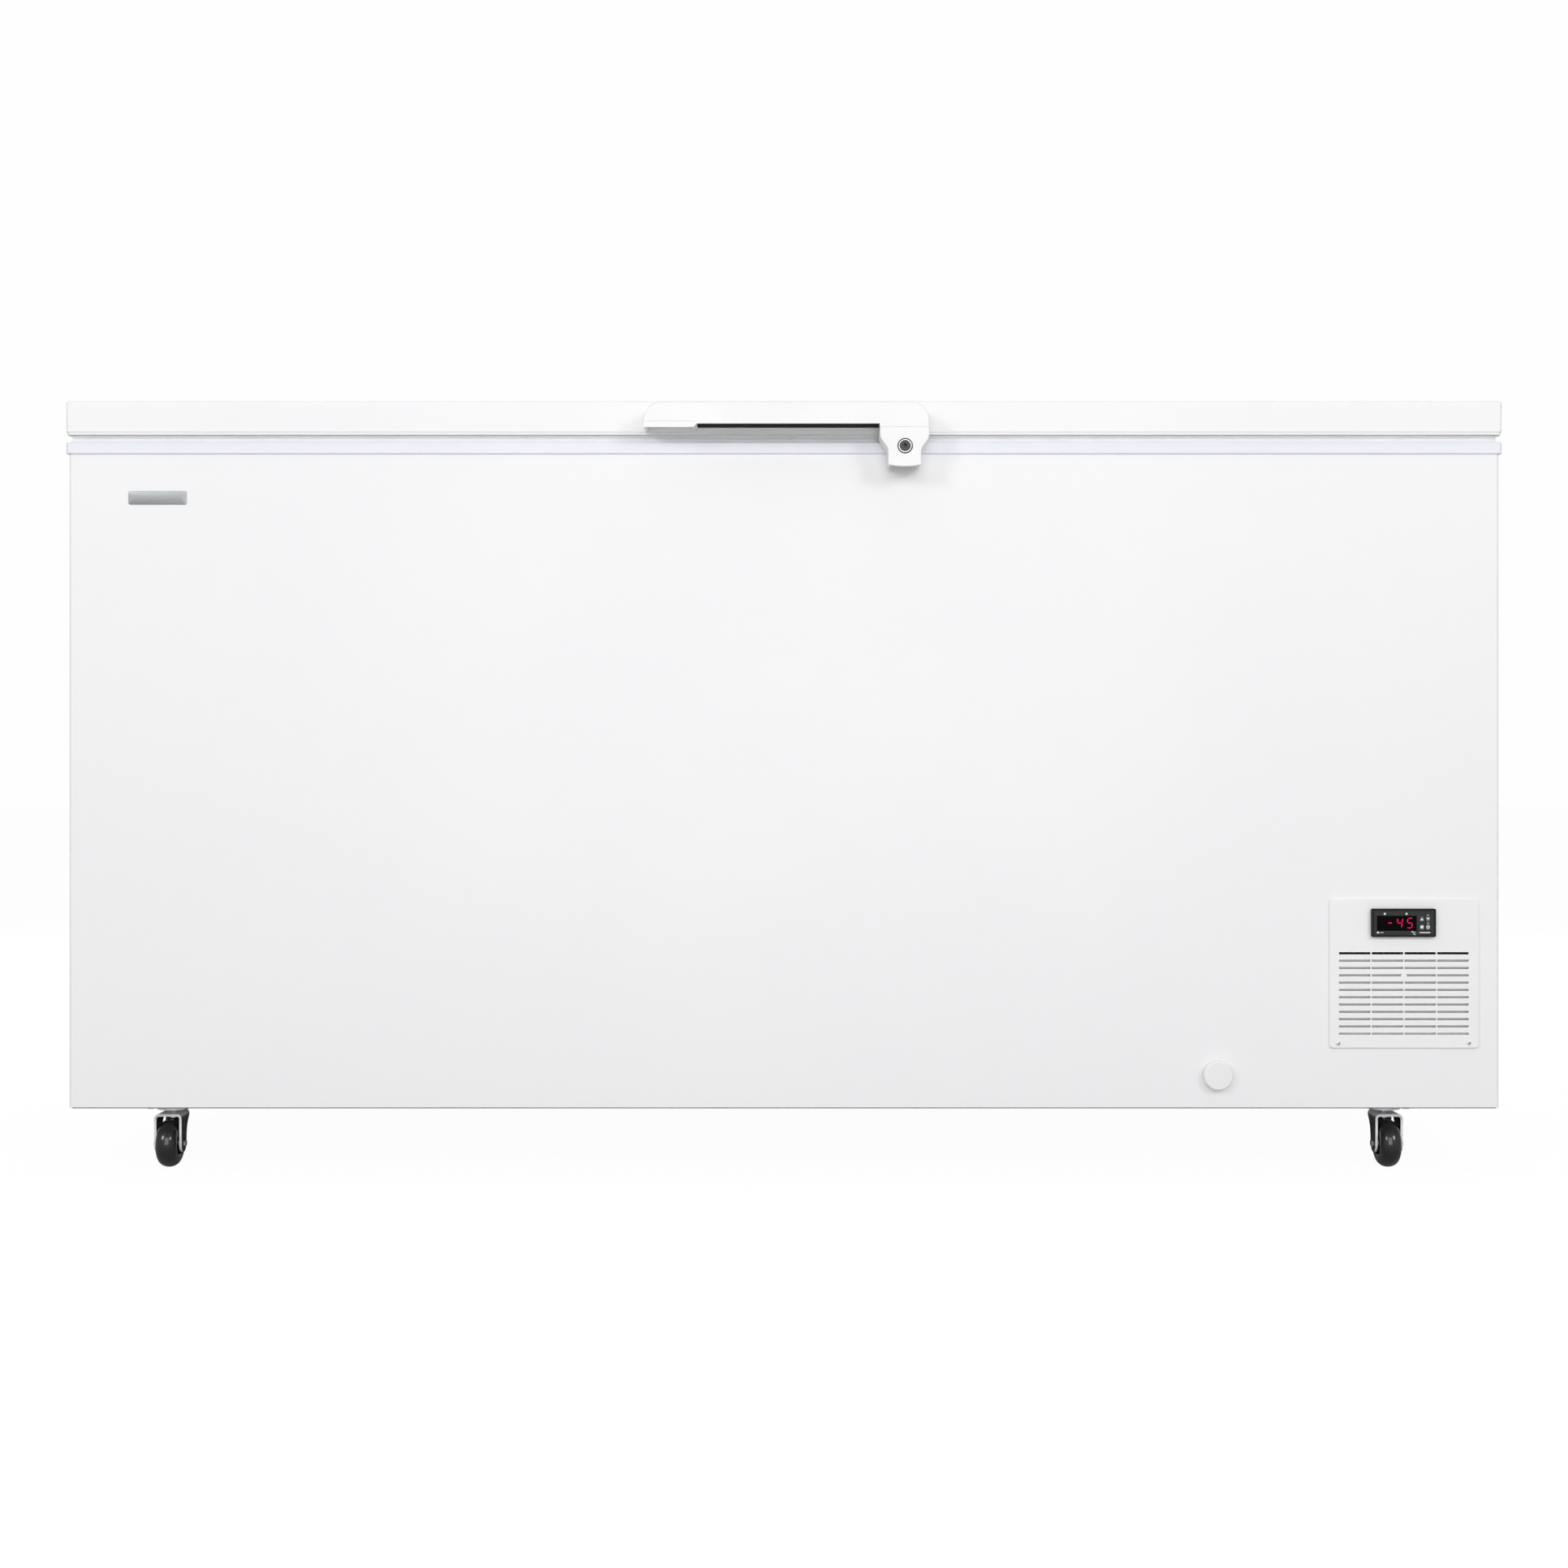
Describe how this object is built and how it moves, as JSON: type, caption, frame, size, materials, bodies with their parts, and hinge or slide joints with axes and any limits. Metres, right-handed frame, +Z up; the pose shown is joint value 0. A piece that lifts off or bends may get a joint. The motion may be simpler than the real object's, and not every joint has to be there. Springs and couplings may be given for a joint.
{
  "type": "chest freezer",
  "caption": "Long white chest freezer with a hinged lid, lockable handle, digital thermostat panel, front drain and swivel castors.",
  "frame": {"origin": "on the floor, under the middle of the cabinet", "axes": "+X to the user's right along the length, +Y to the back, +Z up; the front is at -Y"},
  "size_m": [1.8, 0.75, 0.9687],
  "materials": {
    "white_enamel": "smooth white powder coat on steel",
    "liner_white": "white coil-coated steel",
    "galvanised_steel": "zinc-coated sheet",
    "collar_plastic": "bluish-white extruded plastic",
    "handle_plastic": "white moulded plastic",
    "panel_plastic": "warm white moulded plastic",
    "lid_liner_plastic": "white formed plastic",
    "gasket_rubber": "soft white seal",
    "foam": "rigid insulation foam",
    "controller_black": "black moulded plastic",
    "display_black": "smoked window",
    "display_red": "lit red segments",
    "button_grey": "soft black key",
    "bright_zinc": "bright zinc plate",
    "dark_screw": "plated screws",
    "chrome": "polished chrome",
    "compressor_black": "black enamel",
    "copper": "drawn copper tube",
    "aluminium": "mill finish",
    "castor_black": "hard black tread",
    "fan_plastic": "black moulded plastic",
    "grommet_rubber": "soft black rubber"
  },
  "bodies": {
    "cabinet": {"cabinet_shell": "white_enamel", "back_panel": "galvanised_steel", "base_pan": "galvanised_steel", "compressor_tray": "galvanised_steel", "inner_liner": "liner_white", "bay_partition": "galvanised_steel", "insulation_foam": "foam", "evaporator_coil": "aluminium", "top_collar": "collar_plastic", "service_panel": "panel_plastic", "controller_bezel": "controller_black", "controller_body": "controller_black", "display_window": "display_black", "display_digits": "display_red", "drain_spout": "handle_plastic", "condenser_coil": "copper", "condenser_fins": "aluminium", "fan_shroud": "galvanised_steel", "fan_motor": "compressor_black", "compressor_shell": "compressor_black", "compressor_mounts": "grommet_rubber", "terminal_box": "controller_black", "refrigerant_pipes": "copper", "rear_grille": "galvanised_steel", "cord_gland": "fan_plastic", "cabinet_screws": "dark_screw", "castor_plates": "bright_zinc", "castor_bolts": "bright_zinc", "hinge_cabinet_brackets": "bright_zinc", "hinge_pins": "bright_zinc", "hinge_springs": "bright_zinc", "lock_keeper": "bright_zinc"},
    "lid": {"lid_skin": "white_enamel", "lid_foam": "foam", "lid_liner": "lid_liner_plastic", "lid_frame": "lid_liner_plastic", "lid_gasket": "gasket_rubber", "handle_bar": "handle_plastic", "handle_end_cap": "handle_plastic", "lock_housing": "handle_plastic", "lock_barrel": "chrome", "hinge_lid_brackets": "bright_zinc", "lid_screws": "bright_zinc"},
    "lock": {"lock_plug": "chrome", "lock_cam": "bright_zinc"},
    "drain_cap": {"drain_cap": "handle_plastic"},
    "drain_plug": {"inner_drain_plug": "gasket_rubber"},
    "fan": {"fan_blade": "fan_plastic"},
    "button_top_left": {"button_top_left": "button_grey"},
    "button_top_right": {"button_top_right": "button_grey"},
    "button_low_left": {"button_low_left": "button_grey"},
    "button_low_right": {"button_low_right": "button_grey"},
    "castor_fork_front_left": {"castor_fork_front_left": "bright_zinc"},
    "castor_wheel_front_left": {"castor_wheel_front_left": "castor_black"},
    "castor_fork_front_right": {"castor_fork_front_right": "bright_zinc"},
    "castor_wheel_front_right": {"castor_wheel_front_right": "castor_black"},
    "castor_fork_rear_left": {"castor_fork_rear_left": "bright_zinc"},
    "castor_wheel_rear_left": {"castor_wheel_rear_left": "castor_black"},
    "castor_fork_rear_right": {"castor_fork_rear_right": "bright_zinc"},
    "castor_wheel_rear_right": {"castor_wheel_rear_right": "castor_black"}
  },
  "joints": [
    {"name": "lid_hinge", "type": "hinge", "parent": "cabinet", "child": "lid", "pos_m": [0, 0.361, 0.924], "axis": [-1, 0, 0], "range_deg": [0, 85]},
    {"name": "lock_turn", "type": "hinge", "parent": "lid", "child": "lock", "pos_m": [0.1495, -0.36, 0.9063], "axis": [0, -1, 0], "range_deg": [0, 90]},
    {"name": "drain_cap_pull", "type": "slide", "parent": "cabinet", "child": "drain_cap", "axis": [0, -1, 0], "range_m": [0, 0.025]},
    {"name": "drain_plug_pull", "type": "slide", "parent": "cabinet", "child": "drain_plug", "axis": [0, 0, 1], "range_m": [0, 0.03]},
    {"name": "fan_spin", "type": "hinge", "parent": "cabinet", "child": "fan", "pos_m": [0.761, -0.181, 0.204], "axis": [0, -1, 0], "continuous": true},
    {"name": "press_top_left", "type": "slide", "parent": "cabinet", "child": "button_top_left", "axis": [0, 1, 0], "range_m": [0, 0.0008], "stiffness_N_per_m": 500},
    {"name": "press_top_right", "type": "slide", "parent": "cabinet", "child": "button_top_right", "axis": [0, 1, 0], "range_m": [0, 0.0008], "stiffness_N_per_m": 500},
    {"name": "press_low_left", "type": "slide", "parent": "cabinet", "child": "button_low_left", "axis": [0, 1, 0], "range_m": [0, 0.0008], "stiffness_N_per_m": 500},
    {"name": "press_low_right", "type": "slide", "parent": "cabinet", "child": "button_low_right", "axis": [0, 1, 0], "range_m": [0, 0.0008], "stiffness_N_per_m": 500},
    {"name": "swivel_front_left", "type": "hinge", "parent": "cabinet", "child": "castor_fork_front_left", "pos_m": [-0.784, -0.267, 0.075], "axis": [0, 0, 1], "continuous": true},
    {"name": "roll_front_left", "type": "hinge", "parent": "castor_fork_front_left", "child": "castor_wheel_front_left", "pos_m": [-0.784, -0.283, 0.03], "axis": [1, 0, 0], "continuous": true},
    {"name": "swivel_front_right", "type": "hinge", "parent": "cabinet", "child": "castor_fork_front_right", "pos_m": [0.77, -0.267, 0.075], "axis": [0, 0, 1], "continuous": true},
    {"name": "roll_front_right", "type": "hinge", "parent": "castor_fork_front_right", "child": "castor_wheel_front_right", "pos_m": [0.77, -0.283, 0.03], "axis": [1, 0, 0], "continuous": true},
    {"name": "swivel_rear_left", "type": "hinge", "parent": "cabinet", "child": "castor_fork_rear_left", "pos_m": [-0.784, 0.267, 0.075], "axis": [0, 0, 1], "continuous": true},
    {"name": "roll_rear_left", "type": "hinge", "parent": "castor_fork_rear_left", "child": "castor_wheel_rear_left", "pos_m": [-0.784, 0.251, 0.03], "axis": [1, 0, 0], "continuous": true},
    {"name": "swivel_rear_right", "type": "hinge", "parent": "cabinet", "child": "castor_fork_rear_right", "pos_m": [0.77, 0.267, 0.075], "axis": [0, 0, 1], "continuous": true},
    {"name": "roll_rear_right", "type": "hinge", "parent": "castor_fork_rear_right", "child": "castor_wheel_rear_right", "pos_m": [0.77, 0.251, 0.03], "axis": [1, 0, 0], "continuous": true}
  ]
}
